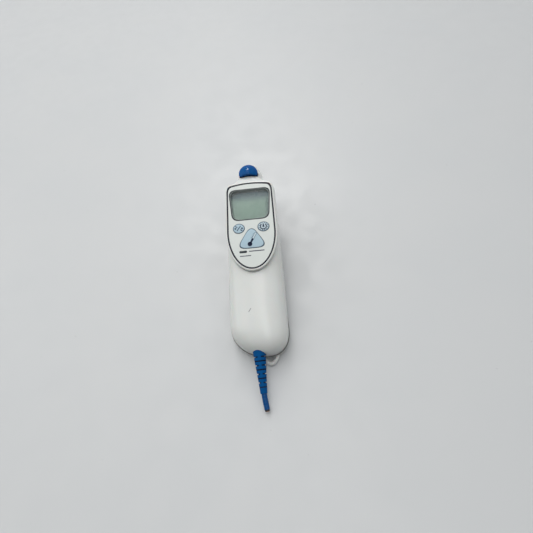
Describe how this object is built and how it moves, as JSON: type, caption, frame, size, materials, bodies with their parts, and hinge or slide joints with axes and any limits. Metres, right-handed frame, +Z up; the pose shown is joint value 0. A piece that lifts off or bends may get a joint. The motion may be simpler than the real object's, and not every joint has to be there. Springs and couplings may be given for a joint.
{
  "type": "infrared ear thermometer",
  "caption": "Handheld infrared ear thermometer lying on its heel and probe: display panel with keys, probe-cover eject button, tapered probe, battery door, corded heel and tether loop.",
  "frame": {"origin": "on the table plane, under the centre of the bounding box", "axes": "+Z up from the table, +Y along the handle towards the head, +X to the right for someone reading the display; the handle is tilted 12.5 degrees up towards the head, resting on its heel and probe tip"},
  "size_m": [0.0492, 0.2208, 0.0684],
  "materials": {
    "white_shell": "moulded, satin to gloss",
    "panel_film": "fine matt film",
    "key_blue": "pale blue, fine matt",
    "eject_blue": "deep blue, glossy",
    "boot_blue": "blue, matt rubber",
    "cable_blue": "blue, smooth jacket",
    "clear_window": "clear",
    "lcd_grey": "grey-green display, off",
    "dark_plastic": "moulded, matt",
    "dark_rubber": "matt",
    "circuit_board": "solder mask",
    "steel": "plated",
    "gold_brass": "gold plated",
    "cell_jacket": "printed sleeve, plain",
    "copper": "cut strands"
  },
  "bodies": {
    "handle": {"front_shell": "white_shell", "rear_shell": "white_shell", "keypad_overlay": "panel_film", "display_window": "clear_window", "scan_switch": "dark_plastic", "unit_switch": "dark_plastic", "timer_switch": "dark_plastic", "lcd_holder": "dark_plastic", "lcd_glass": "lcd_grey", "lcd_reflector": "panel_film", "connector_strip_lower": "dark_rubber", "connector_strip_upper": "dark_rubber", "main_board": "circuit_board", "processor": "dark_plastic", "buzzer": "dark_plastic", "ejector_spring": "steel", "probe_nozzle": "white_shell", "probe_window": "clear_window", "wave_guide": "gold_brass", "sensor_can": "steel", "heat_sink": "gold_brass", "sensor_board": "circuit_board", "probe_screw": "steel", "cover_switch": "dark_plastic", "battery_1": "cell_jacket", "battery_2": "cell_jacket", "battery_3": "cell_jacket", "battery_spring_1": "steel", "battery_spring_2": "steel", "battery_spring_3": "steel", "battery_plate_heel": "steel", "battery_plate_head": "steel", "shell_screw_1": "steel", "shell_screw_2": "steel", "shell_screw_3": "steel", "shell_screw_4": "steel", "cable_boot": "boot_blue", "cable": "cable_blue", "cable_core": "copper", "cable_clamp": "dark_plastic"},
    "ejector": {"eject_button": "eject_blue", "ejector_link": "panel_film", "ejector_sleeve": "white_shell"},
    "scan_key": {"scan_key": "key_blue"},
    "unit_key": {"unit_key": "key_blue"},
    "timer_key": {"timer_key": "key_blue"},
    "battery_door": {"battery_door": "white_shell"}
  },
  "joints": [
    {"name": "eject_press", "type": "slide", "parent": "handle", "child": "ejector", "axis": [0, 0.2164, -0.9763], "range_m": [0, 0.003], "stiffness_N_per_m": 900, "springref_m": -0.002, "deforming": ["ejector_spring"]},
    {"name": "scan_press", "type": "slide", "parent": "handle", "child": "scan_key", "axis": [0, 0.2164, -0.9763], "range_m": [0, 0.0005], "stiffness_N_per_m": 80, "springref_m": -0.006},
    {"name": "unit_press", "type": "slide", "parent": "handle", "child": "unit_key", "axis": [0, 0.2164, -0.9763], "range_m": [0, 0.0005], "stiffness_N_per_m": 80, "springref_m": -0.006},
    {"name": "timer_press", "type": "slide", "parent": "handle", "child": "timer_key", "axis": [0, 0.2164, -0.9763], "range_m": [0, 0.0005], "stiffness_N_per_m": 80, "springref_m": -0.006},
    {"name": "battery_door_slide", "type": "slide", "parent": "handle", "child": "battery_door", "axis": [0, -0.9763, -0.2164], "range_m": [0, 0.012]}
  ]
}
